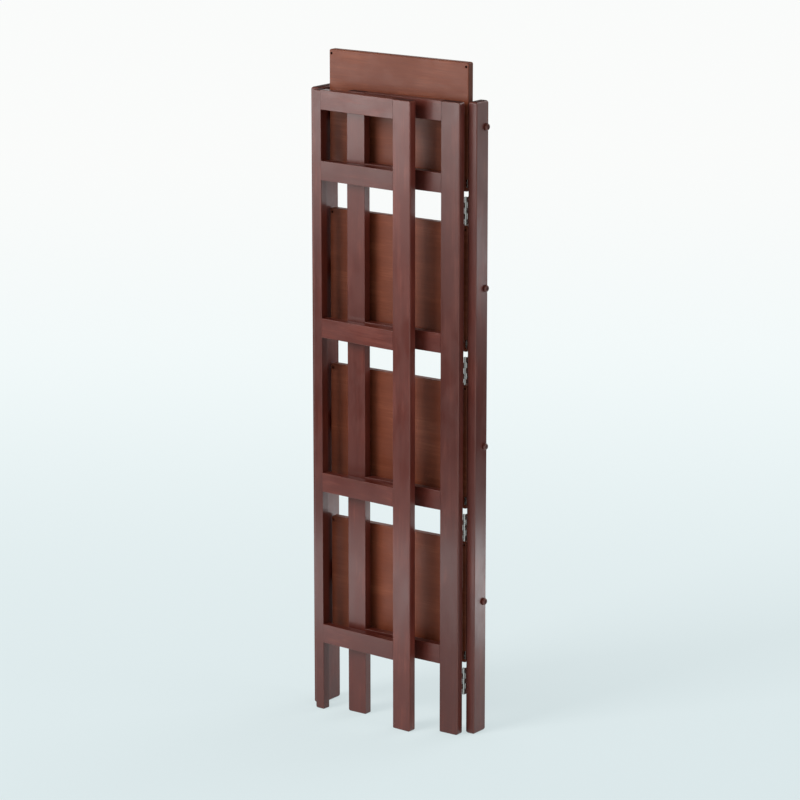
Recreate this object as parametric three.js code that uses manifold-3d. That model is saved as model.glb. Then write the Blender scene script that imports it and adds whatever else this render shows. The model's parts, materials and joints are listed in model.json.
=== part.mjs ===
// A folding bookstand rack, stored flat: a back frame of two posts and four rails,
// four shelves folded up between the posts, and two ladder-like side frames on butt
// hinges that fold across the shelves, the left one in front of the right one.
// Millimetres, +Z up, the front towards -Y.
import * as THREE from "three";
import { mergeVertices } from "three/addons/utils/BufferGeometryUtils.js";
import Module from "manifold-3d";

const wasm = await Module();
wasm.setup();

// Driving dimensions of the rack
const rackHeight = 1144;
const innerWidth = 308; // clear width between the two posts
const postThickness = 18;
const frameThickness = 16; // stiles and rails of the side frames
const tierCount = 4;
const tierPitch = 285; // from one shelf to the next
const lowestRail = 128; // underside of the lowest side rail
const railHeight = 35;
const stileWidth = 39;
const windowWidth = 165; // clear width between the stiles of a side frame
const rightPostDepth = 36;
const foldedGap = 4; // between the two folded side frames
const leftRestAngle = 3.8; // degrees that the left side stands open when stored

// Butt hinges between the posts and the side frames
const hinge = {
  height: 98, // middle of the lowest hinge
  length: 49,
  leafWidth: 17,
  leafThickness: 1.2,
  knuckles: 5,
  knuckleGap: 0.3,
  barrelRadius: 2.5,
  pinRadius: 1.2,
  boreRadius: 1.3,
  axisInset: 2.75, // from the post's inner face to the axis
  axisForward: 3, // from the post's front face to the axis
  openGap: 3.5, // between post and frame when the frame is open
  seatGap: 0.15, // between a leaf and its board
  leafStart: 2.9, // from the axis to the straight edge of a leaf
};

// Shelves and the plates they turn on
const shelf = {
  thickness: 15,
  foldedTop: 355, // upper end of the lowest shelf when folded
  foldedBottom: 129.5,
  pivotHeight: 144,
  sideGap: 4, // to the post at each end
  setback: 5.5, // from the right post's front face to the folded shelf
  holeInset: 5, // peg hole, from the end of the shelf
  holeFromFront: 7.5,
  holeRadius: 2.4,
  holeDepth: 9,
};
const pivot = {
  plateHeight: 14.5,
  plateThickness: 1.2,
  lipWidth: 3.5,
  shoulderRadius: 5,
  pinRadius: 3,
  pinDepth: 12, // into the post
  clearance: 0.1,
};

// Steel pegs on the side rails, which carry the lowered shelves
const peg = { radius: 1.75, rise: 7, underShelf: 0.3 };

// Rails of the back frame, and the wooden buttons over their screws
const backRail = { middle: 243, thickness: 14, setback: 20.8 };
const button = { radius: 6.5, rim: 1.4, height: 6.2, shankRadius: 3, shankLength: 10 };

// Joinery and eased edges
const joinGap = 0.2;
const tenon = { length: 10, height: 23, thickness: 8 };
const easedEdge = 2;
const windowEdge = 0.7; // edges round the windows, broken only lightly
const endRound = 4.5;
const shelfRound = 4;
const edgeSteps = 3; // facets round each eased edge
const turnedSides = 12; // facets round pins and holes

const halfInner = innerWidth / 2;
const leftPostDepth = rightPostDepth + frameThickness + foldedGap;
const rightFrameWidth = 2 * stileWidth + windowWidth;
const leftFrameWidth = rightFrameWidth - (leftPostDepth - rightPostDepth);
const topRailBottom = rackHeight - railHeight;
const shelfDepth = shelf.foldedTop - shelf.foldedBottom;
const shelfLength = innerWidth - 2 * shelf.sideGap;
const pivotY = shelf.setback + shelf.thickness / 2;
const backRailY = backRail.setback + backRail.thickness / 2;
const tiers = Array.from({ length: tierCount }, (_, tier) => tier);

const frameWood = new THREE.MeshStandardMaterial({ color: 0x5a2f28, roughness: 0.42, metalness: 0 });
const shelfWood = new THREE.MeshStandardMaterial({ color: 0x7a3d25, roughness: 0.45, metalness: 0 });
const steel = new THREE.MeshStandardMaterial({ color: 0xb9bbb8, roughness: 0.3, metalness: 1 });

// Solids

function solid(geometry) {
  geometry.deleteAttribute("normal");
  geometry.deleteAttribute("uv");
  const welded = mergeVertices(geometry, 1e-4);
  const mesh = new wasm.Mesh({
    numProp: 3,
    vertProperties: new Float32Array(welded.attributes.position.array),
    triVerts: new Uint32Array(welded.index.array),
  });
  return new wasm.Manifold(mesh);
}

function faceted(manifold) {
  const mesh = manifold.getMesh();
  const geometry = new THREE.BufferGeometry();
  geometry.setAttribute("position", new THREE.BufferAttribute(mesh.vertProperties, 3));
  geometry.setIndex(new THREE.BufferAttribute(mesh.triVerts, 1));
  const flat = geometry.toNonIndexed();
  flat.computeVertexNormals();
  return flat;
}

// A rectangle with its own radius at each corner: low left, low right, high right, high left.
function outline(width, height, radii) {
  const corners = [[-1, -1], [1, -1], [1, 1], [-1, 1]];
  const points = corners.flatMap(([sx, sy], corner) => {
    const radius = radii[corner];
    const steps = radius > 0 ? edgeSteps : 0;
    return Array.from({ length: steps + 1 }, (_, step) => {
      const angle = Math.PI + ((corner + (steps ? step / steps : 0)) * Math.PI) / 2;
      return new THREE.Vector2(
        sx * (width / 2 - radius) + radius * Math.cos(angle),
        sy * (height / 2 - radius) + radius * Math.sin(angle),
      );
    });
  });
  return new THREE.Shape(points);
}

// The outline's plane is XY for a prism along z, XZ along y, and YZ along x.
function prism(shape, length, along) {
  const geometry = new THREE.ExtrudeGeometry(shape, { depth: length, bevelEnabled: false });
  geometry.translate(0, 0, -length / 2);
  if (along !== "z") geometry.rotateX(Math.PI / 2);
  if (along === "x") geometry.rotateZ(Math.PI / 2);
  return solid(geometry);
}

// A board centred on the origin, eased as its three outlines say.
function board([x, y, z], { plan, front, side }) {
  const square = [0, 0, 0, 0];
  const spare = 4;
  return prism(outline(x, y, plan ?? square), z + spare, "z")
    .intersect(prism(outline(x, z, front ?? square), y + spare, "y"))
    .intersect(prism(outline(y, z, side ?? square), x + spare, "x"));
}

function block([x, y, z], [px, py, pz]) {
  return solid(new THREE.BoxGeometry(x, y, z).translate(px, py, pz));
}

function rod(radius, length, along, [px, py, pz]) {
  const geometry = new THREE.CylinderGeometry(radius, radius, length, turnedSides);
  if (along === "x") geometry.rotateZ(Math.PI / 2);
  if (along === "z") geometry.rotateX(Math.PI / 2);
  return solid(geometry.translate(px, py, pz));
}

function addMesh(parent, name, geometry, material, [x, y, z]) {
  const mesh = new THREE.Mesh(geometry, material.clone());
  mesh.name = name;
  mesh.position.set(x, y, z);
  parent.add(mesh);
  return mesh;
}

// Back frame. y = 0 is the front face of the right post.

function post(depth, side) {
  const eased = Array(4).fill(easedEdge);
  const rounded = Array(4).fill(endRound);
  const size = [postThickness, depth, rackHeight];
  let made = board(size, { plan: eased, front: rounded, side: rounded });
  const middle = [rightPostDepth - depth / 2, rackHeight / 2];
  for (const tier of tiers) {
    const rise = tier * tierPitch;
    const pinHole = rod(
      pivot.pinRadius + pivot.clearance,
      2 * (pivot.pinDepth + 1),
      "x",
      [-side * postThickness / 2, pivotY - middle[0], shelf.pivotHeight + rise - middle[1]],
    );
    const buttonHole = rod(
      button.shankRadius + joinGap,
      2 * (button.shankLength + 0.5),
      "x",
      [side * postThickness / 2, backRailY - middle[0], backRail.middle + rise - middle[1]],
    );
    made = made.subtract(pinHole).subtract(buttonHole);
  }
  return made;
}

function buttonGeometry(side) {
  const domeRise = button.height - button.rim;
  const profile = [
    new THREE.Vector2(0, -button.shankLength),
    new THREE.Vector2(button.shankRadius, -button.shankLength),
    new THREE.Vector2(button.shankRadius, 0),
    new THREE.Vector2(button.radius, 0),
  ];
  const domeSteps = 5;
  for (let step = 0; step <= domeSteps; step++) {
    const angle = (step / domeSteps) * (Math.PI / 2);
    const radius = step === domeSteps ? 0 : button.radius * Math.cos(angle);
    profile.push(new THREE.Vector2(radius, button.rim + domeRise * Math.sin(angle)));
  }
  const turned = new THREE.LatheGeometry(profile, turnedSides);
  return turned.rotateZ(-side * Math.PI / 2);
}

function backFrame() {
  const group = new THREE.Group();
  const sides = { left: -1, right: 1 };
  for (const [word, side] of Object.entries(sides)) {
    const depth = side < 0 ? leftPostDepth : rightPostDepth;
    const x = side * (halfInner + postThickness / 2);
    const y = rightPostDepth - depth / 2;
    addMesh(group, "rear_post_" + word, faceted(post(depth, side)), frameWood, [x, y, rackHeight / 2]);
    const axis = hingeAxis(side);
    for (const tier of tiers) {
      const rise = tier * tierPitch;
      const buttonAt = [side * (halfInner + postThickness + joinGap), backRailY, backRail.middle + rise];
      addMesh(group, "rail_button_" + word + "_" + (tier + 1), buttonGeometry(side), frameWood, buttonAt);
      const leafAt = [axis.x, axis.y, hinge.height + rise];
      addMesh(group, "post_hinge_leaf_" + word + "_" + (tier + 1), faceted(postLeaf(side)), steel, leafAt);
    }
  }
  for (const tier of tiers) {
    const size = [innerWidth - 2 * joinGap, backRail.thickness, railHeight];
    const rail = board(size, { side: Array(4).fill(easedEdge) });
    const at = [0, backRailY, backRail.middle + tier * tierPitch];
    addMesh(group, "back_rail_" + (tier + 1), faceted(rail), frameWood, at);
  }
  return group;
}

// Hinges. Each leaf is drawn about the axis of its hinge, with the frame folded.

function hingeAxis(side) {
  const postFront = rightPostDepth - (side < 0 ? leftPostDepth : rightPostDepth);
  return { x: side * (halfInner - hinge.axisInset), y: postFront - hinge.axisForward };
}

// The heights, about the middle of the hinge, of the knuckles of one leaf.
function knuckleSpans(first) {
  const pitch = hinge.length / hinge.knuckles;
  const spans = [];
  for (let i = first; i < hinge.knuckles; i += 2) {
    spans.push({ middle: (i + 0.5) * pitch - hinge.length / 2, length: pitch - hinge.knuckleGap });
  }
  return spans;
}

// A leaf runs from the axis along +x, with its board on the -y side.
function leaf(first) {
  const plateY = -hinge.axisInset + hinge.seatGap + hinge.leafThickness / 2;
  const plateWidth = hinge.leafWidth - hinge.leafStart;
  const plateX = hinge.leafStart + plateWidth / 2;
  const plateRounds = [0, 1.5, 1.5, 0];
  let made = prism(outline(plateWidth, hinge.length, plateRounds), hinge.leafThickness, "y").translate([
    plateX,
    plateY,
    0,
  ]);
  for (const { middle, length } of knuckleSpans(first)) {
    const bridge = block([hinge.leafStart + 0.4, hinge.leafThickness, length], [
      hinge.leafStart / 2 + 0.2,
      plateY,
      middle,
    ]);
    made = made.add(bridge).add(rod(hinge.barrelRadius, length, "z", [0, 0, middle]));
  }
  return made;
}

// Along the post's inner face, towards the back, with the pin through all the knuckles.
function postLeaf(side) {
  const withPin = leaf(0).add(rod(hinge.pinRadius, hinge.length - 2, "z", [0, 0, 0]));
  const turned = withPin.rotate([0, 0, 90]);
  return side > 0 ? turned : turned.mirror([1, 0, 0]);
}

// Across the frame's inner face, away from the post.
function frameLeaf(side) {
  const bored = leaf(1).subtract(rod(hinge.boreRadius, hinge.length, "z", [0, 0, 0]));
  return side < 0 ? bored : bored.mirror([1, 0, 0]);
}

// Side frames. Each is drawn about its hinge axis, folded, and runs from x = 0 inwards.

function tenonAt(x) {
  return block([2 * tenon.length, tenon.thickness, tenon.height], [x, 0, 0]);
}

function frameRail(inwards, withPeg) {
  const length = windowWidth - 2 * joinGap;
  let made = board([length, frameThickness, railHeight], { side: Array(4).fill(windowEdge) });
  made = made.add(tenonAt(-length / 2)).add(tenonAt(length / 2));
  return withPeg ? made.add(railPeg(inwards)) : made;
}

// An L of round steel: out of the rail's inner face, then up into the shelf.
function railPeg(inwards) {
  const reach = shelf.sideGap + shelf.holeInset;
  const buried = 6;
  const shelfUnderside = shelf.pivotHeight - shelf.thickness / 2;
  const legHeight = shelfUnderside - peg.underShelf - peg.radius - (lowestRail + railHeight / 2);
  const rise = peg.radius + peg.underShelf + peg.rise;
  const x = inwards * (windowWidth / 2 - pegFromStile());
  const face = frameThickness / 2;
  const leg = rod(peg.radius, reach + buried, "y", [x, face + (reach - buried) / 2, legHeight]);
  const elbow = solid(new THREE.SphereGeometry(peg.radius, turnedSides, 8).translate(x, face + reach, legHeight));
  const tip = rod(peg.radius, rise, "z", [x, face + reach, legHeight + rise / 2]);
  return leg.add(elbow).add(tip);
}

// How far the peg stands behind the front stile.
function pegFromStile() {
  const shelfFront = pivotY - (shelf.foldedTop - shelf.pivotHeight);
  const stileBack = -hinge.openGap - rightFrameWidth + stileWidth;
  return shelfFront + shelf.holeFromFront - stileBack;
}

// outerEdge is -1 where the rounded long edge is on the -x side, and 1 on the +x side.
function stile(width, outerEdge, windowSides) {
  const plan = [-1, 1, 1, -1].map((edge) => (edge === outerEdge ? easedEdge : windowEdge));
  const front = [-1, 1, 1, -1].map((edge) => (edge === outerEdge ? endRound : easedEdge));
  const size = [width, frameThickness, rackHeight];
  let made = board(size, { plan, front, side: Array(4).fill(easedEdge) });
  const mortise = [2 * (tenon.length + joinGap), tenon.thickness + 2 * joinGap, tenon.height + 2 * joinGap];
  for (const middle of railMiddles()) {
    made = made.subtract(block(mortise, [windowSides * width / 2, 0, middle - rackHeight / 2]));
  }
  return made;
}

function railMiddles() {
  const lower = tiers.map((tier) => lowestRail + tier * tierPitch + railHeight / 2);
  return [...lower, topRailBottom + railHeight / 2];
}

function sideFrame(word, side) {
  const group = new THREE.Group();
  const inwards = -side;
  const frameWidth = side < 0 ? leftFrameWidth : rightFrameWidth;
  const hingeStileWidth = frameWidth - windowWidth - stileWidth;
  const hingeEdge = hinge.openGap - hinge.axisForward;
  const y = -hinge.axisInset - frameThickness / 2;
  const alongFrame = (distance) => inwards * (hingeEdge + distance);

  const hingeStile = stile(hingeStileWidth, side, inwards);
  const hingeStileAt = [alongFrame(hingeStileWidth / 2), y, rackHeight / 2];
  addMesh(group, word + "_hinge_stile", faceted(hingeStile), frameWood, hingeStileAt);
  const frontStile = stile(stileWidth, inwards, side);
  const frontStileAt = [alongFrame(frameWidth - stileWidth / 2), y, rackHeight / 2];
  addMesh(group, word + "_front_stile", faceted(frontStile), frameWood, frontStileAt);

  const railX = alongFrame(hingeStileWidth + windowWidth / 2);
  railMiddles().forEach((middle, index) => {
    const isTop = index === tierCount;
    const name = isTop ? word + "_top_rail" : word + "_side_rail_" + (index + 1);
    addMesh(group, name, faceted(frameRail(inwards, !isTop)), frameWood, [railX, y, middle]);
  });
  for (const tier of tiers) {
    const at = [0, 0, hinge.height + tier * tierPitch];
    addMesh(group, word + "_hinge_leaf_" + (tier + 1), faceted(frameLeaf(side)), steel, at);
  }
  const axis = hingeAxis(side);
  group.position.set(axis.x, axis.y, 0);
  return group;
}

// Shelves. Each is drawn about its pivot axis, folded up.

function shelfBoard() {
  const middle = (shelf.foldedTop + shelf.foldedBottom) / 2 - shelf.pivotHeight;
  const eased = Array(4).fill(easedEdge);
  let made = board([shelfLength, shelf.thickness, shelfDepth], {
    plan: eased,
    front: Array(4).fill(shelfRound),
    side: eased,
  }).translate([0, 0, middle]);
  const holeHeight = shelf.foldedTop - shelf.pivotHeight - shelf.holeFromFront;
  for (const end of [-1, 1]) {
    const at = [end * (shelfLength / 2 - shelf.holeInset), -shelf.thickness / 2, holeHeight];
    made = made.subtract(rod(shelf.holeRadius, 2 * shelf.holeDepth, "y", at));
  }
  return made;
}

// A steel plate over the shelf's end, with a lip under the shelf and a pin into the post.
function pivotPlate(side) {
  const endFace = shelfLength / 2 + hinge.seatGap;
  const plateX = side * (endFace + pivot.plateThickness / 2);
  const lipY = -shelf.thickness / 2 - hinge.seatGap - pivot.plateThickness / 2;
  const plateDepth = shelf.thickness + hinge.seatGap + pivot.plateThickness - easedEdge;
  const plateY = lipY - pivot.plateThickness / 2 + plateDepth / 2;
  const lipReach = pivot.lipWidth + hinge.seatGap + pivot.plateThickness;
  const plate = block([pivot.plateThickness, plateDepth, pivot.plateHeight], [plateX, plateY, 0]);
  const lip = block([lipReach, pivot.plateThickness, pivot.plateHeight], [
    side * (endFace + pivot.plateThickness - lipReach / 2),
    lipY,
    0,
  ]);
  const shoulderEnd = halfInner - pivot.clearance;
  const shoulderLength = shoulderEnd - endFace;
  const shoulder = rod(pivot.shoulderRadius, shoulderLength, "x", [side * (endFace + shoulderLength / 2), 0, 0]);
  const pinLength = halfInner + pivot.pinDepth - endFace;
  const pin = rod(pivot.pinRadius, pinLength, "x", [side * (endFace + pinLength / 2), 0, 0]);
  return plate.add(lip).add(shoulder).add(pin);
}

function shelfGroup(tier) {
  const group = new THREE.Group();
  const number = tier + 1;
  addMesh(group, "shelf_board_" + number, faceted(shelfBoard()), shelfWood, [0, 0, 0]);
  addMesh(group, "shelf_pivot_left_" + number, faceted(pivotPlate(-1)), steel, [0, 0, 0]);
  addMesh(group, "shelf_pivot_right_" + number, faceted(pivotPlate(1)), steel, [0, 0, 0]);
  group.position.set(0, pivotY, shelf.pivotHeight + tier * tierPitch);
  return group;
}

// The rack as stored, standing on z = 0 with the middle of its depth at y = 0.
const rack = new THREE.Group();
rack.add(backFrame());
const leftSide = sideFrame("left", -1);
leftSide.rotation.z = -THREE.MathUtils.degToRad(leftRestAngle);
rack.add(leftSide);
rack.add(sideFrame("right", 1));
for (const tier of tiers) rack.add(shelfGroup(tier));
const reach = new THREE.Box3().setFromObject(rack, true);
rack.position.y = -(reach.min.y + reach.max.y) / 2;

const bookstand = new THREE.Group();
bookstand.add(rack);
export default bookstand;
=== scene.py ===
import bpy
import json
import math
from mathutils import Matrix, Vector


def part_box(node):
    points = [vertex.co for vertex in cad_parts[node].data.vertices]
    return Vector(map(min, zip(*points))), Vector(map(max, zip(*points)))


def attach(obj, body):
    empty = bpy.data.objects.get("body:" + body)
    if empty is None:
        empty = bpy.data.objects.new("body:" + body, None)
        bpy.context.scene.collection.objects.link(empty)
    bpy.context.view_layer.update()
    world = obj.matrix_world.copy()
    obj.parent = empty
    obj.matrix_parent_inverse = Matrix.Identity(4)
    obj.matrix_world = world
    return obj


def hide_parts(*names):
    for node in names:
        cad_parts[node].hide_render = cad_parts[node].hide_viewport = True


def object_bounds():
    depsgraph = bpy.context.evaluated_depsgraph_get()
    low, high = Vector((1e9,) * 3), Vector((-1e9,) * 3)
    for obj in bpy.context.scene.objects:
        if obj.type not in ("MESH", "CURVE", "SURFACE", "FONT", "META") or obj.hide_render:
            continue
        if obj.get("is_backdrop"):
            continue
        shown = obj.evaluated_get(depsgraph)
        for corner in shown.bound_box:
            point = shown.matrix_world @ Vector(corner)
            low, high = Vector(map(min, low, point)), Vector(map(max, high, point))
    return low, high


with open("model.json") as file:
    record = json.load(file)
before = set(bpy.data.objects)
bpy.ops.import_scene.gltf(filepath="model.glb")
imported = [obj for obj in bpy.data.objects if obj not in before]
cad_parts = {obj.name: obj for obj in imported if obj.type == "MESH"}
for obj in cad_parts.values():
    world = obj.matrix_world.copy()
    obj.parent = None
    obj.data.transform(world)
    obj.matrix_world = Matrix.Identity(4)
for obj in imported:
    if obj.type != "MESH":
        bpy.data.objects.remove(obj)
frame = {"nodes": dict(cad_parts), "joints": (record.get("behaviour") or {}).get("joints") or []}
cadBox = [list(corner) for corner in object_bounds()]
scene = bpy.context.scene
mm = 0.001
hair = 0.01 * mm  # allowance when faces and edges are picked by their place
facing = 0.9  # least part of a normal along the axis that a face is picked by
alongX = (0, math.radians(90), 0)  # turns that lay a cylinder down
alongY = (math.radians(90), 0, 0)
tiers = range(1, 5)
sideSigns = {"left": -1, "right": 1}

# Hinge lines come from the joints; the left side frame is stored slightly open
joints = {joint["name"]: Vector(joint["pos_m"]) for joint in frame["joints"]}
hingeLine = {word: joints[word + "_side_swing"] for word in sideSigns}
storedTurn = {"left": math.radians(-3.8), "right": 0.0}
print("frame loaded:", len(frame["nodes"]), "nodes")


# Small modelling tools

def storedPose(word):
    line = hingeLine[word]
    about = Matrix.Translation((line.x, line.y, 0))
    return about @ Matrix.Rotation(storedTurn[word], 4, "Z") @ about.inverted()


def plainPoints(node, word):
    undo = storedPose(word).inverted()  # the node as if its side frame were swung shut
    return [undo @ vertex.co for vertex in frame["nodes"][node].data.vertices]


def boxOf(points):
    low = Vector([min(point[i] for point in points) for i in range(3)])
    high = Vector([max(point[i] for point in points) for i in range(3)])
    return low, high


def pickOnly(piece):
    bpy.ops.object.select_all(action="DESELECT")
    piece.select_set(True)
    bpy.context.view_layer.objects.active = piece


def addPrimitive(kind, name, **settings):
    bpy.ops.object.select_all(action="DESELECT")
    getattr(bpy.ops.mesh, "primitive_" + kind + "_add")(**settings)
    piece = bpy.context.object
    piece.name = name
    pickOnly(piece)
    bpy.ops.object.transform_apply(location=True, rotation=True, scale=True)
    return piece


def clearFlags(mesh):
    for group in (mesh.vertices, mesh.edges, mesh.polygons):
        group.foreach_set("select", [False] * len(group))


def editFaces(piece, wanted):
    pickOnly(piece)
    bpy.context.tool_settings.mesh_select_mode = (False, False, True)
    clearFlags(piece.data)
    for face in piece.data.polygons:
        face.select = wanted(face)
    bpy.ops.object.mode_set(mode="EDIT")


def editEdges(piece, wanted):
    pickOnly(piece)
    bpy.context.tool_settings.mesh_select_mode = (False, True, False)
    clearFlags(piece.data)
    for edge in piece.data.edges:
        edge.select = wanted(*(piece.data.vertices[i].co for i in edge.vertices))
    bpy.ops.object.mode_set(mode="EDIT")


def leaveEdit():
    bpy.ops.object.mode_set(mode="OBJECT")


def bevelEdges(piece, wanted, width, segments):
    editEdges(piece, wanted)
    bpy.ops.mesh.bevel(offset=width, segments=segments, affect="EDGES")
    leaveEdit()


def applyModifier(piece, kind, **settings):
    pickOnly(piece)
    modifier = piece.modifiers.new(kind, kind)
    for key, value in settings.items():
        setattr(modifier, key, value)
    bpy.ops.object.modifier_apply(modifier=modifier.name)


def cutWith(piece, cutter):
    applyModifier(piece, "BOOLEAN", operation="DIFFERENCE", solver="EXACT", object=cutter)
    bpy.data.objects.remove(cutter)


def joinPieces(name, pieces):
    pickOnly(pieces[0])
    for piece in pieces:
        piece.select_set(True)
    bpy.ops.object.join()
    pieces[0].name = name
    return pieces[0]


def copyPiece(source, name, matrix):
    piece = source.copy()
    piece.data = source.data.copy()
    piece.name = name
    scene.collection.objects.link(piece)
    piece.data.transform(matrix)
    if matrix.determinant() < 0:
        piece.data.flip_normals()
    return piece


def evenShade(piece, degrees=40):
    pickOnly(piece)
    bpy.ops.object.shade_smooth_by_angle(angle=math.radians(degrees))
    applyModifier(piece, "WEIGHTED_NORMAL", keep_sharp=True, weight=90)


dressed = []
seedStep = 0.618034


def dress(piece, material, body, nodes):
    evenShade(piece)
    piece.data.materials.clear()
    piece.data.materials.append(material)
    dressed.append(piece.name)
    seed = (len(dressed) * seedStep) % 1.0  # each board comes from another part of the plank
    values = piece.data.attributes.new("boardSeed", "FLOAT", "POINT")
    values.data.foreach_set("value", [seed] * len(piece.data.vertices))
    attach(piece, body)
    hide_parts(*nodes)
    return piece


# Small shader tools

def feed(tree, value, target):
    if isinstance(value, bpy.types.NodeSocket):
        tree.links.new(value, target)
    else:
        target.default_value = value


def doMath(tree, operation, first, second=0.0):
    node = tree.nodes.new("ShaderNodeMath")
    node.operation = operation
    feed(tree, first, node.inputs[0])
    feed(tree, second, node.inputs[1])
    return node.outputs[0]


def doRange(tree, value, low, high, outLow=0.0, outHigh=1.0):
    node = tree.nodes.new("ShaderNodeMapRange")
    node.interpolation_type = "SMOOTHSTEP"
    for name, number in (("From Min", low), ("From Max", high), ("To Min", outLow), ("To Max", outHigh)):
        node.inputs[name].default_value = number
    tree.links.new(value, node.inputs["Value"])
    return node.outputs["Result"]


def doVector(tree, operation, first, second):
    node = tree.nodes.new("ShaderNodeVectorMath")
    node.operation = operation
    feed(tree, first, node.inputs[0])
    feed(tree, second, node.inputs[1])
    return node.outputs["Vector"]


def doMix(tree, factor, first, second, blend="MIX"):
    node = tree.nodes.new("ShaderNodeMix")
    node.data_type = "RGBA"
    node.blend_type = blend
    feed(tree, factor, node.inputs["Factor"])
    feed(tree, first, node.inputs[6])  # the colour sockets A, B and Result
    feed(tree, second, node.inputs[7])
    return node.outputs[2]


def doNoise(tree, place, stretch, scale, detail=2.0, rough=0.5):
    node = tree.nodes.new("ShaderNodeTexNoise")
    node.inputs["Scale"].default_value = scale
    node.inputs["Detail"].default_value = detail
    node.inputs["Roughness"].default_value = rough
    tree.links.new(doVector(tree, "MULTIPLY", place, stretch), node.inputs["Vector"])
    return node.outputs["Fac"]


def split(tree, vector):
    node = tree.nodes.new("ShaderNodeSeparateXYZ")
    tree.links.new(vector, node.inputs[0])
    return node.outputs


def joinVector(tree, x, y, z):
    node = tree.nodes.new("ShaderNodeCombineXYZ")
    for value, target in zip((x, y, z), node.inputs):
        feed(tree, value, target)
    return node.outputs[0]


def newGroup(name, inputs, outputs):
    tree = bpy.data.node_groups.new(name, "ShaderNodeTree")
    for label, kind in inputs.items():
        tree.interface.new_socket(label, in_out="INPUT", socket_type="NodeSocket" + kind)
    for label in outputs:
        tree.interface.new_socket(label, in_out="OUTPUT", socket_type="NodeSocketFloat")
    given = tree.nodes.new("NodeGroupInput").outputs
    result = tree.nodes.new("NodeGroupOutput").inputs
    return tree, given, result


def useGroup(tree, group, **inputs):
    node = tree.nodes.new("ShaderNodeGroup")
    node.node_tree = group
    for label, value in inputs.items():
        feed(tree, value, node.inputs[label])
    return node.outputs


# Shared effects. In each the grain runs along Z of the place that it is given.
grainShape = {
    "seedSteps": (3.1, 7.7, 1.9),  # how far a board's seed moves the pattern along X, Y and Z
    "sway": {"stretch": (1, 1, 0.18), "scale": 9}, "swayReach": 0.05,
    "fine": {"stretch": (1, 1, 0.02), "scale": 520, "detail": 3, "rough": 0.62}, "fineShare": 0.55,
    "broad": {"stretch": (1, 1, 0.03), "scale": 130}, "broadShare": 0.45, "fibreRange": (0.36, 0.64),
    "bow": {"stretch": (1, 1, 0.1), "scale": 16}, "bowReach": 0.05,
    "ringPitch": 0.0085, "ringSlant": 1.7, "ringRange": (0.2, 1.0),
    "cloud": {"stretch": (1, 1, 0.4), "scale": 22, "detail": 3, "rough": 0.55}, "cloudRange": (0.35, 0.68),
    "dots": {"stretch": (1, 1, 0.045), "scale": 1150, "detail": 1, "rough": 0.4}, "poreRange": (0.6, 0.7),
}


def makeGrainGroup():
    shape = grainShape
    outputs = ("Fibre", "Rings", "Cloud", "Pores")
    tree, given, result = newGroup("boardGrain", {"Place": "Vector", "Seed": "Float"}, outputs)
    shift = [doMath(tree, "MULTIPLY", given["Seed"], step) for step in shape["seedSteps"]]
    place = doVector(tree, "ADD", given["Place"], joinVector(tree, *shift))
    slide = doMath(tree, "MULTIPLY", doNoise(tree, place, **shape["sway"]), shape["swayReach"])
    swayed = doVector(tree, "ADD", place, joinVector(tree, slide, slide, 0.0))
    fine = doMath(tree, "MULTIPLY", doNoise(tree, swayed, **shape["fine"]), shape["fineShare"])
    broad = doMath(tree, "MULTIPLY", doNoise(tree, swayed, **shape["broad"]), shape["broadShare"])
    fibre = doMath(tree, "ADD", fine, broad)
    tree.links.new(doRange(tree, fibre, *shape["fibreRange"]), result["Fibre"])
    bow = doMath(tree, "MULTIPLY", doNoise(tree, place, **shape["bow"]), shape["bowReach"])
    x, y, z = split(tree, swayed)
    slanted = doMath(tree, "ADD", x, doMath(tree, "MULTIPLY", y, shape["ringSlant"]))
    across = doMath(tree, "ADD", slanted, bow)
    wave = doMath(tree, "SINE", doMath(tree, "MULTIPLY", across, 2 * math.pi / shape["ringPitch"]))
    tree.links.new(doRange(tree, wave, *shape["ringRange"]), result["Rings"])
    cloud = doNoise(tree, place, **shape["cloud"])
    tree.links.new(doRange(tree, cloud, *shape["cloudRange"]), result["Cloud"])
    dots = doNoise(tree, place, **shape["dots"])
    tree.links.new(doRange(tree, dots, *shape["poreRange"]), result["Pores"])
    return tree


edgeShape = {
    "roundRange": (0.02, 0.2),  # how far the normal leans off the nearest axis
    # the patches break up the lighter edge colour, which is partly rubbed wear and partly a painted
    # highlight
    "edgePatches": {"stretch": (1, 1, 0.35), "scale": 60, "detail": 3}, "edgePatchRange": (0.3, 0.6, 0.55, 1.0),
    "endRange": (0.7, 0.95),
}


def makeEdgeGroup():
    shape = edgeShape
    inputs = {"Place": "Vector", "Normal": "Vector"}
    tree, given, result = newGroup("easedEdges", inputs, ("Edge", "End"))
    sizes = [doMath(tree, "ABSOLUTE", part) for part in split(tree, given["Normal"])]
    flattest = doMath(tree, "MAXIMUM", doMath(tree, "MAXIMUM", sizes[0], sizes[1]), sizes[2])
    rounding = doRange(tree, doMath(tree, "SUBTRACT", 1.0, flattest), *shape["roundRange"])
    # Edge marks the eased edges in patches, for a lighter colour that is partly rubbed wear and partly a
    # painted highlight
    patchyEdge = doRange(tree, doNoise(tree, given["Place"], **shape["edgePatches"]), *shape["edgePatchRange"])
    tree.links.new(doMath(tree, "MULTIPLY", rounding, patchyEdge), result["Edge"])
    tree.links.new(doRange(tree, sizes[2], *shape["endRange"]), result["End"])
    return tree


lacquerShape = {
    "haze": {"stretch": (1, 1, 0.5), "scale": 30, "detail": 4, "rough": 0.6}, "hazeRange": (0.3, 0.7),
    "ripple": {"stretch": (1, 1, 0.6), "scale": 420},
}


def makeLacquerGroup():
    shape = lacquerShape
    tree, given, result = newGroup("satinLacquer", {"Place": "Vector"}, ("Haze", "Ripple"))
    haze = doNoise(tree, given["Place"], **shape["haze"])
    tree.links.new(doRange(tree, haze, *shape["hazeRange"]), result["Haze"])
    tree.links.new(doNoise(tree, given["Place"], **shape["ripple"]), result["Ripple"])
    return tree


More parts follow.
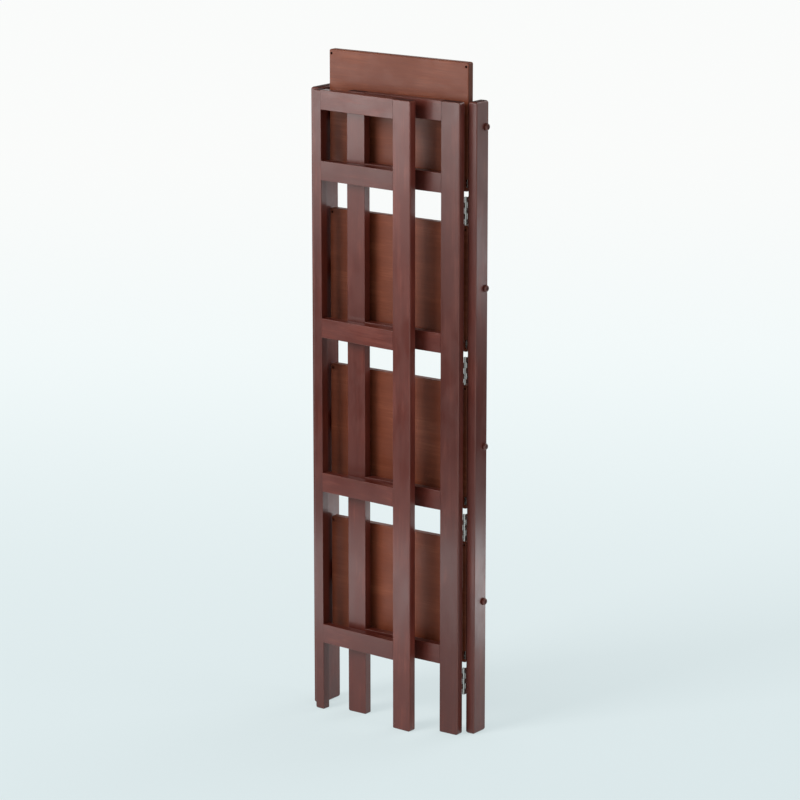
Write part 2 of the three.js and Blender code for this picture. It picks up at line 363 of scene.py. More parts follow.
platingShape = {
    "lines": {"stretch": (1, 1, 0.06), "scale": 2600, "rough": 0.7}, "scratchRange": (0.56, 0.7),
    "dull": {"stretch": (1, 1, 1), "scale": 330, "detail": 4, "rough": 0.65}, "tarnishRange": (0.44, 0.66),
    "grit": {"stretch": (1, 1, 1), "scale": 3600},
}


def makePlatingGroup():
    shape = platingShape
    outputs = ("Scratch", "Tarnish", "Grit")
    tree, given, result = newGroup("platedMetal", {"Place": "Vector"}, outputs)
    lines = doNoise(tree, given["Place"], **shape["lines"])
    tree.links.new(doRange(tree, lines, *shape["scratchRange"]), result["Scratch"])
    dull = doNoise(tree, given["Place"], **shape["dull"])
    tree.links.new(doRange(tree, dull, *shape["tarnishRange"]), result["Tarnish"])
    tree.links.new(doNoise(tree, given["Place"], **shape["grit"]), result["Grit"])
    return tree


grainGroup = makeGrainGroup()
edgeGroup = makeEdgeGroup()
lacquerGroup = makeLacquerGroup()
platingGroup = makePlatingGroup()


def newMaterial(name):
    material = bpy.data.materials.new(name)
    material.use_nodes = True
    tree = material.node_tree
    return material, tree, tree.nodes["Principled BSDF"]


def addBump(tree, shader, height, distance, strength):
    bump = tree.nodes.new("ShaderNodeBump")
    bump.inputs["Distance"].default_value = distance
    bump.inputs["Strength"].default_value = strength
    tree.links.new(height, bump.inputs["Height"])
    tree.links.new(bump.outputs["Normal"], shader.inputs["Normal"])


def grainTurn(tree, socket, along, kind):
    if along == "Z":
        return socket
    turn = tree.nodes.new("ShaderNodeMapping")  # lays the grain along X
    turn.vector_type = kind
    turn.inputs["Rotation"].default_value = (0, math.radians(90), 0)
    tree.links.new(socket, turn.inputs["Vector"])
    return turn.outputs["Vector"]


frameStain = {
    "dark": (0.100, 0.0155, 0.0085, 1),
    "mid": (0.142, 0.0245, 0.0140, 1),
    "light": (0.185, 0.0380, 0.0230, 1),
    # lighter colour on eased edges: partly rubbed wear, partly a painted highlight
    "edge": (0.225, 0.075, 0.052, 1),
    "pore": (0.045, 0.010, 0.007, 1),
    "end": (0.036, 0.0090, 0.0066, 1),
    "fibre": 0.34, "rings": 0.08, "cloud": 0.5, "pores": 0.16, "edgeWearAndHighlight": 0.55,
    "roughLow": 0.34, "roughHigh": 0.48, "endRough": 0.3,
    "coat": 0.3, "coatRoughness": 0.2, "specular": 0.42,
}
shelfStain = {
    "dark": (0.190, 0.0420, 0.0160, 1),
    "mid": (0.250, 0.0630, 0.0260, 1),
    "light": (0.310, 0.0860, 0.0380, 1),
    # lighter colour on eased edges: partly rubbed wear, partly a painted highlight
    "edge": (0.28, 0.105, 0.062, 1),
    "pore": (0.085, 0.023, 0.012, 1),
    "end": (0.085, 0.0240, 0.0140, 1),
    "fibre": 0.38, "rings": 0.12, "cloud": 0.45, "pores": 0.18, "edgeWearAndHighlight": 0.25,
    "roughLow": 0.38, "roughHigh": 0.52, "endRough": 0.2,
    "coat": 0.06, "coatRoughness": 0.25, "specular": 0.28,
}
boardFinish = {
    "lightFrom": 0.45, "boardTone": (0.86, 1.14), "endTint": 0.7,
    "fibreRough": 0.05, "endCoat": 0.05,
    "fibreHeight": 0.5, "rippleHeight": 0.5, "poreDepth": 0.3, "relief": 0.12 * mm, "reliefShare": 0.5,
}


def makeWood(name, stain, along):
    finish = boardFinish
    material, tree, shader = newMaterial(name)
    coordinates = tree.nodes.new("ShaderNodeTexCoord").outputs
    place = grainTurn(tree, coordinates["Object"], along, "POINT")
    normal = grainTurn(tree, coordinates["Normal"], along, "VECTOR")
    seedNode = tree.nodes.new("ShaderNodeAttribute")
    seedNode.attribute_name = "boardSeed"
    seed = seedNode.outputs["Fac"]
    grain = useGroup(tree, grainGroup, Place=place, Seed=seed)
    edges = useGroup(tree, edgeGroup, Place=place, Normal=normal)
    lacquer = useGroup(tree, lacquerGroup, Place=place)

    tone = doMath(tree, "ADD", doMath(tree, "MULTIPLY", grain["Fibre"], stain["fibre"]),
                  doMath(tree, "MULTIPLY", grain["Cloud"], stain["cloud"]))
    color = doMix(tree, tone, stain["dark"], stain["mid"])
    color = doMix(tree, doRange(tree, tone, finish["lightFrom"], 1.0), color, stain["light"])
    color = doMix(tree, doMath(tree, "MULTIPLY", grain["Rings"], stain["rings"]), color, stain["dark"])
    color = doMix(tree, doMath(tree, "MULTIPLY", grain["Pores"], stain["pores"]), color, stain["pore"])
    boardTone = doRange(tree, seed, 0.0, 1.0, *finish["boardTone"])
    color = doMix(tree, 1.0, color, joinVector(tree, boardTone, boardTone, boardTone), "MULTIPLY")
    # Eased edges turn lighter: partly rubbed wear, partly a painted highlight along the rounded edges
    color = doMix(tree, doMath(tree, "MULTIPLY", edges["Edge"], stain["edgeWearAndHighlight"]), color, stain["edge"])
    color = doMix(tree, doMath(tree, "MULTIPLY", edges["End"], finish["endTint"]), color, stain["end"])
    tree.links.new(color, shader.inputs["Base Color"])

    rough = doRange(tree, lacquer["Haze"], 0.0, 1.0, stain["roughLow"], stain["roughHigh"])
    rough = doMath(tree, "ADD", rough, doMath(tree, "MULTIPLY", grain["Fibre"], finish["fibreRough"]))
    rough = doMath(tree, "ADD", rough, doMath(tree, "MULTIPLY", edges["End"], stain["endRough"]))
    tree.links.new(rough, shader.inputs["Roughness"])
    # End grain drinks the lacquer
    coat = doRange(tree, edges["End"], 0.0, 1.0, stain["coat"], finish["endCoat"])
    tree.links.new(coat, shader.inputs["Coat Weight"])
    shader.inputs["Coat Roughness"].default_value = stain["coatRoughness"]
    shader.inputs["Specular IOR Level"].default_value = stain["specular"]

    height = doMath(tree, "ADD", doMath(tree, "MULTIPLY", grain["Fibre"], finish["fibreHeight"]),
                    doMath(tree, "MULTIPLY", lacquer["Ripple"], finish["rippleHeight"]))
    pores = doMath(tree, "MULTIPLY", grain["Pores"], finish["poreDepth"])
    height = doMath(tree, "SUBTRACT", height, pores)
    addBump(tree, shader, height, finish["relief"], finish["reliefShare"])
    return material


plating = {
    "bright": (0.66, 0.655, 0.63, 1),
    "dull": (0.57, 0.56, 0.54, 1),
    "roughLow": 0.24, "roughHigh": 0.40, "scratchWear": 0.7,
    "gritHeight": 0.4, "relief": 0.02 * mm, "reliefShare": 0.6,
}


def makePlated(name, settings):
    material, tree, shader = newMaterial(name)
    place = tree.nodes.new("ShaderNodeTexCoord").outputs["Object"]
    metal = useGroup(tree, platingGroup, Place=place)
    color = doMix(tree, metal["Tarnish"], settings["bright"], settings["dull"])
    tree.links.new(color, shader.inputs["Base Color"])
    scratched = doMath(tree, "MULTIPLY", metal["Scratch"], settings["scratchWear"])
    worn = doMath(tree, "MAXIMUM", metal["Tarnish"], scratched)
    rough = doRange(tree, worn, 0.0, 1.0, settings["roughLow"], settings["roughHigh"])
    tree.links.new(rough, shader.inputs["Roughness"])
    shader.inputs["Metallic"].default_value = 1.0
    grit = doMath(tree, "MULTIPLY", metal["Grit"], settings["gritHeight"])
    height = doMath(tree, "SUBTRACT", grit, metal["Scratch"])
    addBump(tree, shader, height, settings["relief"], settings["reliefShare"])
    return material


uprightWood = makeWood("frameWoodUpright", frameStain, "Z")
crossWood = makeWood("frameWoodAcross", frameStain, "X")
shelfWood = makeWood("shelfWood", shelfStain, "X")
nickel = makePlated("nickelPlate", plating)
print("materials made:", len(bpy.data.materials))


# Boards. Each outline has a radius for each corner: low left, low right, high right, high left.
cornerOrder = [(-1, -1), (1, -1), (1, 1), (-1, 1)]
outlineAlong = {0: "side", 1: "front", 2: "plan"}  # the outline that an edge along X, Y or Z belongs to
boardSegments = 4


def addBoard(name, low, high, rounds):
    middle = (low + high) / 2
    board = addPrimitive("cube", name, size=1, location=middle, scale=high - low)
    largest = max(max(radii) for radii in rounds.values())
    weights = board.data.attributes.new("bevel_weight_edge", "FLOAT", "EDGE")
    for edge in board.data.edges:
        start, end = (board.data.vertices[i].co - middle for i in edge.vertices)
        along = max(range(3), key=lambda i: abs(start[i] - end[i]))
        corner = tuple(int(math.copysign(1, start[i])) for i in range(3) if i != along)
        radii = rounds.get(outlineAlong[along], [0, 0, 0, 0])
        weights.data[edge.index].value = radii[cornerOrder.index(corner)] / largest
    applyModifier(board, "BEVEL", width=largest, segments=boardSegments, limit_method="WEIGHT")
    return board


# Posts, back rails and the buttons over the rail screws
postShape = {"eased": 2 * mm, "endRound": 4.5 * mm,
             "bore": 3.1 * mm, "boreDepth": 12.5 * mm, "boreSides": 36}  # for the shelves' pivot pins


def makePosts():
    shape = postShape
    for word, side in sideSigns.items():
        node = "rear_post_" + word
        low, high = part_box(node)
        rounds = {
            "plan": [shape["eased"]] * 4,
            "front": [shape["endRound"]] * 4,
            "side": [shape["endRound"]] * 4,
        }
        post = addBoard(word + "Post", low, high, rounds)
        face = low.x if side > 0 else high.x
        for tier in tiers:
            line = joints[f"shelf_{tier}_fold"]
            bore = addPrimitive("cylinder", "pinBore", vertices=shape["boreSides"],
                                radius=shape["bore"], depth=2 * shape["boreDepth"],
                                location=(face, line.y, line.z), rotation=alongX)
            cutWith(post, bore)
        dress(post, uprightWood, "back_frame", [node])


def makeBackRails():
    for tier in tiers:
        node = f"back_rail_{tier}"
        rail = addBoard(f"backRail{tier}", *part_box(node), {"side": [postShape["eased"]] * 4})
        dress(rail, crossWood, "back_frame", [node])


buttonShape = {"radius": 6.5 * mm, "rim": 1.4 * mm, "height": 6.2 * mm, "step": 0.3 * mm,
               "shank": 3 * mm, "shankLength": 10 * mm, "sides": 40, "rings": 24}


def makeButtons():
    shape = buttonShape
    dome = addPrimitive("uv_sphere", "buttonMaster", segments=shape["sides"],
                        ring_count=shape["rings"], radius=shape["radius"])
    editFaces(dome, lambda face: True)
    bpy.ops.mesh.bisect(plane_co=(0, 0, 0), plane_no=(0, 0, 1), use_fill=True, clear_inner=True)
    leaveEdit()
    flatness = (shape["height"] - shape["rim"]) / shape["radius"]
    dome.data.transform(Matrix.Diagonal((1, 1, flatness, 1)))
    editFaces(dome, lambda face: face.normal.z < -facing and abs(face.center.z) < hair)
    bpy.ops.mesh.extrude_region_move(TRANSFORM_OT_translate={"value": (0, 0, -shape["rim"])})
    bpy.ops.mesh.inset(thickness=shape["step"], depth=0)
    bpy.ops.mesh.inset(thickness=shape["radius"] - shape["shank"] - shape["step"], depth=0)
    bpy.ops.mesh.extrude_region_move(TRANSFORM_OT_translate={"value": (0, 0, -shape["shankLength"])})
    leaveEdit()
    lift = Matrix.Translation((0, 0, shape["rim"]))
    for word, side in sideSigns.items():
        lay = Matrix.Rotation(side * math.radians(90), 4, "Y") @ lift
        for tier in tiers:
            node = f"rail_button_{word}_{tier}"
            low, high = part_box(node)
            foot = high.x - shape["height"] if side > 0 else low.x + shape["height"]
            seat = Matrix.Translation((foot, (low.y + high.y) / 2, (low.z + high.z) / 2))
            button = copyPiece(dome, f"{word}Button{tier}", seat @ lay)
            dress(button, crossWood, "back_frame", [node])
    bpy.data.objects.remove(dome)


# Side frames: two stiles and five rails each, with a steel peg in every rail but the top one
sideShape = {"eased": 2 * mm, "windowEdge": 0.7 * mm, "endRound": 4.5 * mm}
pegShape = {"radius": 1.75 * mm, "bend": 3 * mm, "bendSteps": 8, "buried": 0.5 * mm,
            "tipEase": 0.5 * mm, "sides": 24,
            "clearOfRail": 0.5 * mm}  # the rail node's points past this belong to its peg


def makeStile(word, part, outerEdge):
    node = f"{word}_{part}_stile"
    low, high = boxOf(plainPoints(node, word))
    edge = [-1, 1, 1, -1]
    rounds = {
        "plan": [sideShape["eased"] if e == outerEdge else sideShape["windowEdge"] for e in edge],
        "front": [sideShape["endRound"] if e == outerEdge else sideShape["eased"] for e in edge],
        "side": [sideShape["eased"]] * 4,
    }
    stile = addBoard(f"{word}{part.title()}Stile", low, high, rounds)
    stile.data.transform(storedPose(word))
    dress(stile, uprightWood, word + "_side", [node])
    return low, high


def makePeg(name, railFace, x, legHeight, reach, tip):
    shape = pegShape
    straight = reach - shape["bend"] + shape["buried"]
    at = (x, railFace - shape["buried"] + straight / 2, legHeight)
    peg = addPrimitive("cylinder", name, vertices=shape["sides"], radius=shape["radius"],
                       depth=straight, location=at, rotation=alongY)
    bendStart = railFace + reach - shape["bend"]
    editFaces(peg, lambda face: face.normal.y > facing and face.center.y > bendStart - hair)
    center = (x, bendStart, legHeight + shape["bend"])
    bpy.ops.mesh.spin(steps=shape["bendSteps"], angle=math.radians(90), center=center, axis=(-1, 0, 0))
    rise = tip - legHeight - shape["bend"]
    bpy.ops.mesh.extrude_region_move(TRANSFORM_OT_translate={"value": (0, 0, rise)})
    leaveEdit()
    bevelEdges(peg, lambda a, b: min(a.z, b.z) > tip - hair, shape["tipEase"], 3)
    return peg


def makeSideFrame(word):
    side = sideSigns[word]
    hingeLow, hingeHigh = makeStile(word, "hinge", side)
    frontLow, frontHigh = makeStile(word, "front", -side)
    left, right = (hingeHigh.x, frontLow.x) if side < 0 else (frontHigh.x, hingeLow.x)
    body = word + "_side"
    names = [f"{word}_side_rail_{tier}" for tier in tiers] + [word + "_top_rail"]
    for index, node in enumerate(names):
        points = plainPoints(node, word)
        low, high = boxOf(points)
        low.x, high.x, low.y, high.y = left, right, hingeLow.y, hingeHigh.y
        rail = addBoard(f"{word}Rail{index + 1}", low, high, {"side": [sideShape["windowEdge"]] * 4})
        rail.data.transform(storedPose(word))
        dress(rail, crossWood, body, [node])
        pegPoints = [point for point in points if point.y > hingeHigh.y + pegShape["clearOfRail"]]
        if pegPoints:
            pegLow, pegHigh = boxOf(pegPoints)
            reach = pegHigh.y - pegShape["radius"] - hingeHigh.y
            legHeight = pegLow.z + pegShape["radius"]
            x = (pegLow.x + pegHigh.x) / 2
            peg = makePeg(f"{word}Peg{index + 1}", hingeHigh.y, x, legHeight, reach, pegHigh.z)
            peg.data.transform(storedPose(word))
            dress(peg, nickel, body, [node])


# Butt hinges, drawn about the hinge line with the leaf along +X and its board on the -Y side
hingeShape = {
    "length": 49 * mm, "knuckles": 5, "gap": 0.3 * mm,
    "outer": 2.5 * mm, "inner": 1.3 * mm,  # the rolled knuckle
    "leafStart": 2.9 * mm, "leafEnd": 17 * mm, "cornerRound": 1.6 * mm, "cornerSteps": 6,
    "roll": math.radians(285), "rollSteps": 22, "ease": 0.12 * mm,
    "pin": 1.2 * mm, "pinShort": 0.4 * mm, "pinSides": 24,
    "pinHead": 1.9 * mm, "pinHeadHeight": 0.6 * mm, "pinHeadSunk": 0.1 * mm, "pinHeadEase": 0.35 * mm,
    "screws": [(9.2 * mm, -17 * mm), (12 * mm, 0), (9.2 * mm, 17 * mm)], "screwTurns": (35, 85, 135),
}
screwShape = {"radius": 2.5 * mm, "height": 1.3 * mm, "dome": 0.18 * mm, "domeSteps": (0.5 * mm, 0.8 * mm),
              "slotWidth": 0.7 * mm, "slotLength": 2.9 * mm, "slotDepth": 0.7 * mm, "slotAngles": (45, 135),
              "ease": 0.07 * mm, "sides": 28, "clearance": 0.12 * mm, "boreDepth": 6 * mm}


def makeScrew():
    shape = screwShape
    screw = addPrimitive("cylinder", "screwMaster", vertices=shape["sides"], radius=shape["radius"],
                         depth=shape["height"], location=(0, 0, -shape["height"] / 2))
    editFaces(screw, lambda face: face.normal.z > facing)
    for thickness in shape["domeSteps"]:
        bpy.ops.mesh.inset(thickness=thickness, depth=shape["dome"] / 2)
    leaveEdit()
    size = (shape["slotLength"], shape["slotWidth"], 2 * shape["slotDepth"])
    for degrees in shape["slotAngles"]:
        bar = addPrimitive("cube", "slotCutter", size=1, location=(0, 0, shape["dome"]), scale=size,
                           rotation=(0, 0, math.radians(degrees)))
        cutWith(screw, bar)
    applyModifier(screw, "BEVEL", width=shape["ease"], segments=2, limit_method="ANGLE")
    return screw


def makeLeaf(name, first, screw, withPin):
    shape = hingeShape
    half = shape["length"] / 2
    pitch = shape["length"] / shape["knuckles"]
    size = (shape["leafEnd"] - shape["leafStart"], shape["outer"] - shape["inner"], shape["length"])
    middle = ((shape["leafStart"] + shape["leafEnd"]) / 2, -(shape["outer"] + shape["inner"]) / 2, 0)
    leaf = addPrimitive("cube", name, size=1, location=middle, scale=size)
    outerX = shape["leafEnd"] - hair
    corner = lambda a, b: min(a.x, b.x) > outerX and abs(a.z - b.z) < mm
    bevelEdges(leaf, corner, shape["cornerRound"], shape["cornerSteps"])
    spans = []
    for index in range(first, shape["knuckles"], 2):
        low = -half + index * pitch + shape["gap"] / 2
        spans.append((low, low + pitch - shape["gap"]))
    for height in [edge for span in spans for edge in span]:
        editFaces(leaf, lambda face: True)
        bpy.ops.mesh.bisect(plane_co=(0, 0, height), plane_no=(0, 0, 1))
        leaveEdit()
    startX = shape["leafStart"] + hair
    isKnuckle = lambda z: any(low < z < high for low, high in spans)
    isStart = lambda face: face.normal.x < -facing and face.center.x < startX
    editFaces(leaf, lambda face: isStart(face) and isKnuckle(face.center.z))
    bpy.ops.mesh.extrude_region_move(TRANSFORM_OT_translate={"value": (-shape["leafStart"], 0, 0)})
    bpy.ops.mesh.spin(steps=shape["rollSteps"], angle=shape["roll"], center=(0, 0, 0), axis=(0, 0, -1))
    leaveEdit()
    for x, z in shape["screws"]:
        bore = addPrimitive("cylinder", "screwBore", vertices=screwShape["sides"],
                            radius=screwShape["radius"] + screwShape["clearance"],
                            depth=screwShape["boreDepth"], location=(x, middle[1], z), rotation=alongY)
        cutWith(leaf, bore)
    applyModifier(leaf, "BEVEL", width=shape["ease"], segments=2, limit_method="ANGLE")
    parts = [leaf]
    layDown = Matrix.Rotation(math.radians(-90), 4, "X")
    for (x, z), degrees in zip(shape["screws"], shape["screwTurns"]):
        turn = Matrix.Rotation(math.radians(degrees), 4, "Y")
        seat = Matrix.Translation((x, -shape["inner"], z)) @ turn @ layDown
        parts.append(copyPiece(screw, "leafScrew", seat))
    if withPin:
        parts.append(addPrimitive("cylinder", "pin", vertices=shape["pinSides"], radius=shape["pin"],
                                  depth=shape["length"] - shape["pinShort"]))
        height = half + shape["pinHeadHeight"] / 2 - shape["pinHeadSunk"]
        for end in (-1, 1):
            head = addPrimitive("cylinder", "pinHead", vertices=shape["pinSides"],
                                radius=shape["pinHead"], depth=shape["pinHeadHeight"],
                                location=(0, 0, end * height))
            outer = lambda a, b: min(a.z * end, b.z * end) > height
            bevelEdges(head, outer, shape["pinHeadEase"], 3)
            parts.append(head)
    return joinPieces(name, parts)


def makeHinges():
    screw = makeScrew()
    postLeaf = makeLeaf("postLeafMaster", 0, screw, True)
    frameLeaf = makeLeaf("frameLeafMaster", 1, screw, False)
    mirror = Matrix.Scale(-1, 4, (1, 0, 0))
    quarter = Matrix.Rotation(math.radians(90), 4, "Z")
    for word, side in sideSigns.items():
        line = hingeLine[word]
        stored = Matrix.Rotation(storedTurn[word], 4, "Z")
        for tier in tiers:
            node = f"post_hinge_leaf_{word}_{tier}"
            low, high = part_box(node)
            at = Matrix.Translation((line.x, line.y, (low.z + high.z) / 2))
            turn = quarter if side > 0 else mirror @ quarter
            leaf = copyPiece(postLeaf, f"{word}PostLeaf{tier}", at @ turn)
            dress(leaf, nickel, "back_frame", [node])
            turn = stored if side < 0 else mirror
            leaf = copyPiece(frameLeaf, f"{word}FrameLeaf{tier}", at @ turn)
            dress(leaf, nickel, word + "_side", [f"{word}_hinge_leaf_{tier}"])
    for master in (screw, postLeaf, frameLeaf):
        bpy.data.objects.remove(master)


# Shelves with a peg hole at each front corner, and the plates they turn on
shelfShape = {"eased": 2 * mm, "round": 4 * mm, "holeInset": 5 * mm, "holeFromFront": 7.5 * mm,
              "holeRadius": 2.4 * mm, "holeDepth": 9 * mm, "holeSides": 32}
pivotShape = {
    "height": 14.5 * mm, "thickness": 1.2 * mm, "lip": 3.5 * mm, "bend": 0.6 * mm, "bendSteps": 6,
    "seat": 0.15 * mm, "backInset": 2 * mm, "cornerRound": 1.2 * mm, "cornerSteps": 5, "ease": 0.12 * mm,
    "shoulder": 5 * mm, "shoulderGap": 0.1 * mm, "pin": 3 * mm, "pinDepth": 12 * mm,
    "rodEase": 0.3 * mm, "rodSides": 36,
}


def makeShelf(tier):
    shape = shelfShape
    node = f"shelf_board_{tier}"
    low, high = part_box(node)
    rounds = {"plan": [shape["eased"]] * 4, "front": [shape["round"]] * 4, "side": [shape["eased"]] * 4}
    shelf = addBoard(f"shelf{tier}", low, high, rounds)
    for x in (low.x + shape["holeInset"], high.x - shape["holeInset"]):
        at = (x, low.y, high.z - shape["holeFromFront"])
        bore = addPrimitive("cylinder", "pegBore", vertices=shape["holeSides"],
                            radius=shape["holeRadius"], depth=2 * shape["holeDepth"],
                            location=at, rotation=alongY)
        cutWith(shelf, bore)
    dress(shelf, shelfWood, f"shelf_{tier}", [node])
    return low, high


def makePivotMaster(low, high, postFace):
    shape = pivotShape
    half = shape["height"] / 2
    line = joints["shelf_1_fold"]
    endX = high.x + shape["seat"]  # inner side of the plate on the shelf's end
    front = low.y - shape["seat"] - shape["thickness"]
    lipLow = Vector((high.x - shape["lip"], front, line.z - half))
    bendX = endX - shape["bend"]
    lipHigh = Vector((bendX, front + shape["thickness"], line.z + half))
    plate = addPrimitive("cube", "pivotMaster", size=1, location=(lipLow + lipHigh) / 2,
                         scale=lipHigh - lipLow)
    editFaces(plate, lambda face: face.normal.x > facing)
    bendY = front + shape["thickness"] + shape["bend"]
    bpy.ops.mesh.spin(steps=shape["bendSteps"], angle=math.radians(90), center=(bendX, bendY, line.z),
                      axis=(0, 0, 1))
    backY = high.y - shape["backInset"]
    bpy.ops.mesh.extrude_region_move(TRANSFORM_OT_translate={"value": (0, backY - bendY, 0)})
    leaveEdit()
    isLevel = lambda a, b: abs(a.z - b.z) < hair
    isEnd = lambda a, b: min(a.y, b.y) > backY - hair or max(a.x, b.x) < lipLow.x + hair
    isCorner = lambda a, b: isLevel(a, b) and isEnd(a, b)
    bevelEdges(plate, isCorner, shape["cornerRound"], shape["cornerSteps"])
    applyModifier(plate, "BEVEL", width=shape["ease"], segments=2, limit_method="ANGLE")
    parts = [plate]
    rods = ((shape["shoulder"], postFace - shape["shoulderGap"]),
            (shape["pin"], postFace + shape["pinDepth"]))
    for radius, end in rods:
        rod = addPrimitive("cylinder", "pivotRod", vertices=shape["rodSides"], radius=radius,
                           depth=end - endX, location=((end + endX) / 2, line.y, line.z),
                           rotation=alongX)
        applyModifier(rod, "BEVEL", width=shape["rodEase"], segments=2, limit_method="ANGLE")
        parts.append(rod)
    return joinPieces("pivotMaster", parts)


def makeShelves():
    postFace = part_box("rear_post_right")[0].x
    master = None
    for tier in tiers:
        low, high = makeShelf(tier)
        if master is None:
            master = makePivotMaster(low, high, postFace)
        rise = Matrix.Translation((0, 0, joints[f"shelf_{tier}_fold"].z - joints["shelf_1_fold"].z))
        for word, side in sideSigns.items():
            place = rise if side > 0 else rise @ Matrix.Scale(-1, 4, (1, 0, 0))
            plate = copyPiece(master, f"{word}Pivot{tier}", place)
            dress(plate, nickel, f"shelf_{tier}", [f"shelf_pivot_{word}_{tier}"])
    bpy.data.objects.remove(master)


makePosts()
makeBackRails()
makeButtons()
print("back frame made")
for word in sideSigns:
    makeSideFrame(word)
print("side frames made")
makeHinges()
print("hinges made")
makeShelves()
print("shelves made")


# Studio: a pale floor that runs into the pale world, soft lamps and the photograph's camera
studio = {
    "floorSize": 120, "floorColor": (0.80, 0.83, 0.84, 1),
    "glowNear": 0.55, "glowFar": 0.95, "glowFullAt": 0.7,
    "near": (0.765, 0.925, 0.95, 1), "far": (0.99, 1.0, 0.99, 1),
    "depthWay": (-0.587, 0.81, 0), "nearAt": -2.5, "farAt": 6.5,
    "worldLight": (0.94, 0.97, 1.0, 1), "worldStrength": 0.42,
}


def shownDirectly(tree):
    rays = tree.nodes.new("ShaderNodeLightPath").outputs
    seen = doMath(tree, "MAXIMUM", rays["Is Camera Ray"], rays["Is Transmission Ray"])
    return doMath(tree, "MAXIMUM", seen, rays["Is Glossy Ray"])


def mixShaders(tree, factor, first, second, target):
    mix = tree.nodes.new("ShaderNodeMixShader")
    for value, socket in zip((factor, first, second), mix.inputs):
        tree.links.new(value, socket)
    tree.links.new(mix.outputs[0], target)


def makeFloor():
    floor = addPrimitive("plane", "studioFloor", size=studio["floorSize"])
    material, tree, shader = newMaterial("paleFloor")
    shader.inputs["Base Color"].default_value = studio["floorColor"]
    shader.inputs["Roughness"].default_value = 1.0
    shader.inputs["Specular IOR Level"].default_value = 0.0
    place = tree.nodes.new("ShaderNodeTexCoord").outputs["Object"]
    way = tree.nodes.new("ShaderNodeVectorMath")
    way.operation = "DOT_PRODUCT"
    tree.links.new(place, way.inputs[0])
    way.inputs[1].default_value = studio["depthWay"]
    depth = doRange(tree, way.outputs["Value"], studio["nearAt"], studio["farAt"])
    glow = tree.nodes.new("ShaderNodeEmission")
    tree.links.new(doMix(tree, depth, studio["near"], studio["far"]), glow.inputs["Color"])
    glowShare = doRange(tree, depth, 0.0, studio["glowFullAt"], studio["glowNear"], studio["glowFar"])
    share = doMath(tree, "MULTIPLY", shownDirectly(tree), glowShare)
    target = tree.nodes["Material Output"].inputs["Surface"]
    mixShaders(tree, share, shader.outputs[0], glow.outputs[0], target)
    floor.data.materials.append(material)
    floor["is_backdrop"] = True


def makeWorld():
    world = bpy.data.worlds.new("studioWorld")
    scene.world = world
    world.use_nodes = True
    tree = world.node_tree
    lightPart = tree.nodes["Background"]
    lightPart.inputs["Color"].default_value = studio["worldLight"]
    lightPart.inputs["Strength"].default_value = studio["worldStrength"]
    shownPart = tree.nodes.new("ShaderNodeBackground")
    shownPart.inputs["Color"].default_value = studio["far"]
    target = tree.nodes["World Output"].inputs["Surface"]
    mixShaders(tree, shownDirectly(tree), lightPart.outputs[0], shownPart.outputs[0], target)


# Dark cards beside the set: only the sheen of the lacquer shows them
cardPlan = {
    "frontCard": {"at": (-0.74, -1.02, 0.31), "aim": (0, 0, 0.31), "size": (2.4, 0.62)},
    "sideCard": {"at": (0.88, 1.0, 0.29), "aim": (0.17, 0, 0.29), "size": (1.6, 0.50)},
    "topCard": {"at": (0, 0, 2.9), "aim": (0, 0, 0), "size": (9, 9)},
}
cardColor = (0.01, 0.01, 0.01, 1)


def turnTowards(place, aim):
    return (Vector(aim) - Vector(place)).to_track_quat("-Z", "Y").to_euler()


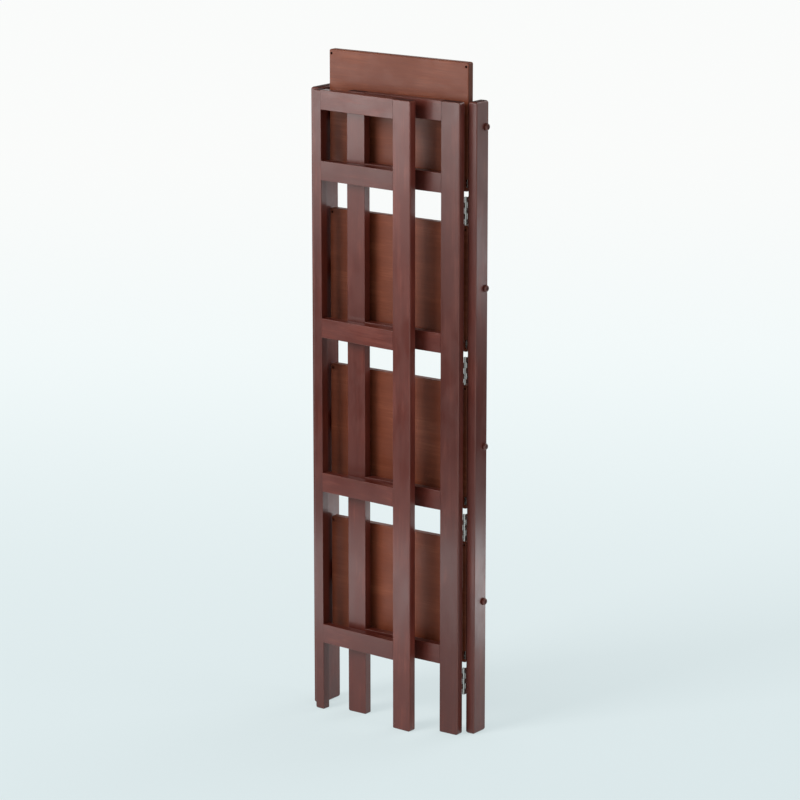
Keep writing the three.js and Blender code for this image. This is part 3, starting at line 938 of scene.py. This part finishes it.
def makeCards():
    material, tree, shader = newMaterial("darkCard")
    shader.inputs["Base Color"].default_value = cardColor
    shader.inputs["Roughness"].default_value = 1.0
    shader.inputs["Specular IOR Level"].default_value = 0.0
    for name, plan in cardPlan.items():
        card = addPrimitive("plane", name, size=1)
        card.data.transform(Matrix.Diagonal((*plan["size"], 1, 1)))
        card.data.transform(turnTowards(plan["at"], plan["aim"]).to_matrix().to_4x4())
        card.data.transform(Matrix.Translation(plan["at"]))
        card.data.materials.append(material)
        for ray in ("camera", "diffuse", "transmission", "volume_scatter", "shadow"):
            setattr(card, "visible_" + ray, False)
        card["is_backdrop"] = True


# The sheen lamps stand where the lacquer mirrors them, and their light is in the gloss alone
lampPlan = {
    "keyLamp": {"at": (-1.1, -3.0, 2.6), "aim": (0, 0, 0.6), "size": (1.5, 1.5), "watts": 66,
                "color": (1, 0.99, 0.97)},
    "fillLamp": {"at": (2.6, 0.3, 1.8), "aim": (0, 0, 0.6), "size": (1.4, 1.4), "watts": 9,
                 "color": (0.97, 0.99, 1)},
    "backLamp": {"at": (0.8, 2.8, 2.6), "aim": (0, 0, 0.7), "size": (1.8, 1.2), "watts": 18,
                 "color": (1, 1, 1)},
    "sheenLamp": {"at": (-0.75, -1.13, 1.06), "aim": (0, 0, 0.96), "size": (1.5, 0.55), "watts": 10.5,
                  "color": (1, 0.99, 0.98), "sheenOnly": True},
    "lowSheenLamp": {"at": (-0.34, -0.50, 0.10), "aim": (0, 0, 0.16), "size": (1.2, 0.18), "watts": 1.6,
                     "color": (0.97, 0.99, 1), "sheenOnly": True},
    "sideSheenLamp": {"at": (0.86, 0.98, 0.64), "aim": (0.17, 0, 0.70), "size": (0.8, 0.16), "watts": 0.9,
                      "color": (0.98, 0.99, 1), "sheenOnly": True},
    "lowSideLamp": {"at": (0.52, 0.50, 0.10), "aim": (0.17, 0, 0.16), "size": (0.9, 0.20), "watts": 1.6,
                    "color": (0.97, 0.99, 1), "sheenOnly": True},
}


def makeLamps():
    for name, plan in lampPlan.items():
        lamp = bpy.data.lights.new(name, "AREA")
        lamp.shape = "RECTANGLE"
        lamp.size, lamp.size_y = plan["size"]
        lamp.energy = plan["watts"]
        lamp.color = plan["color"]
        holder = bpy.data.objects.new(name, lamp)
        scene.collection.objects.link(holder)
        holder.location = plan["at"]
        holder.rotation_euler = turnTowards(plan["at"], plan["aim"])
        holder.visible_camera = False
        holder.visible_diffuse = not plan.get("sheenOnly", False)


cameraPlan = {
    "at": (3.628, -4.990, 2.079), "yaw": -35.90, "pitch": -13.52,
    "sensor": 36, "focal": 3564, "frame": 800,  # the last two in pixels
    "clip": (0.1, 200),
}


def makeCamera():
    plan = cameraPlan
    camera = bpy.data.cameras.new("photoCamera")
    camera.sensor_width = plan["sensor"]
    camera.lens = plan["focal"] / plan["frame"] * camera.sensor_width
    camera.clip_start, camera.clip_end = plan["clip"]
    holder = bpy.data.objects.new("photoCamera", camera)
    scene.collection.objects.link(holder)
    holder.location = plan["at"]
    holder.rotation_euler = (math.radians(90 + plan["pitch"]), 0, math.radians(-plan["yaw"]))
    scene.camera = holder


makeFloor()
makeWorld()
makeCards()
makeLamps()
makeCamera()
scene.view_settings.view_transform = "Standard"
print("studio made")

{"cad": cadBox, "visual": [list(corner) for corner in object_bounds()]}
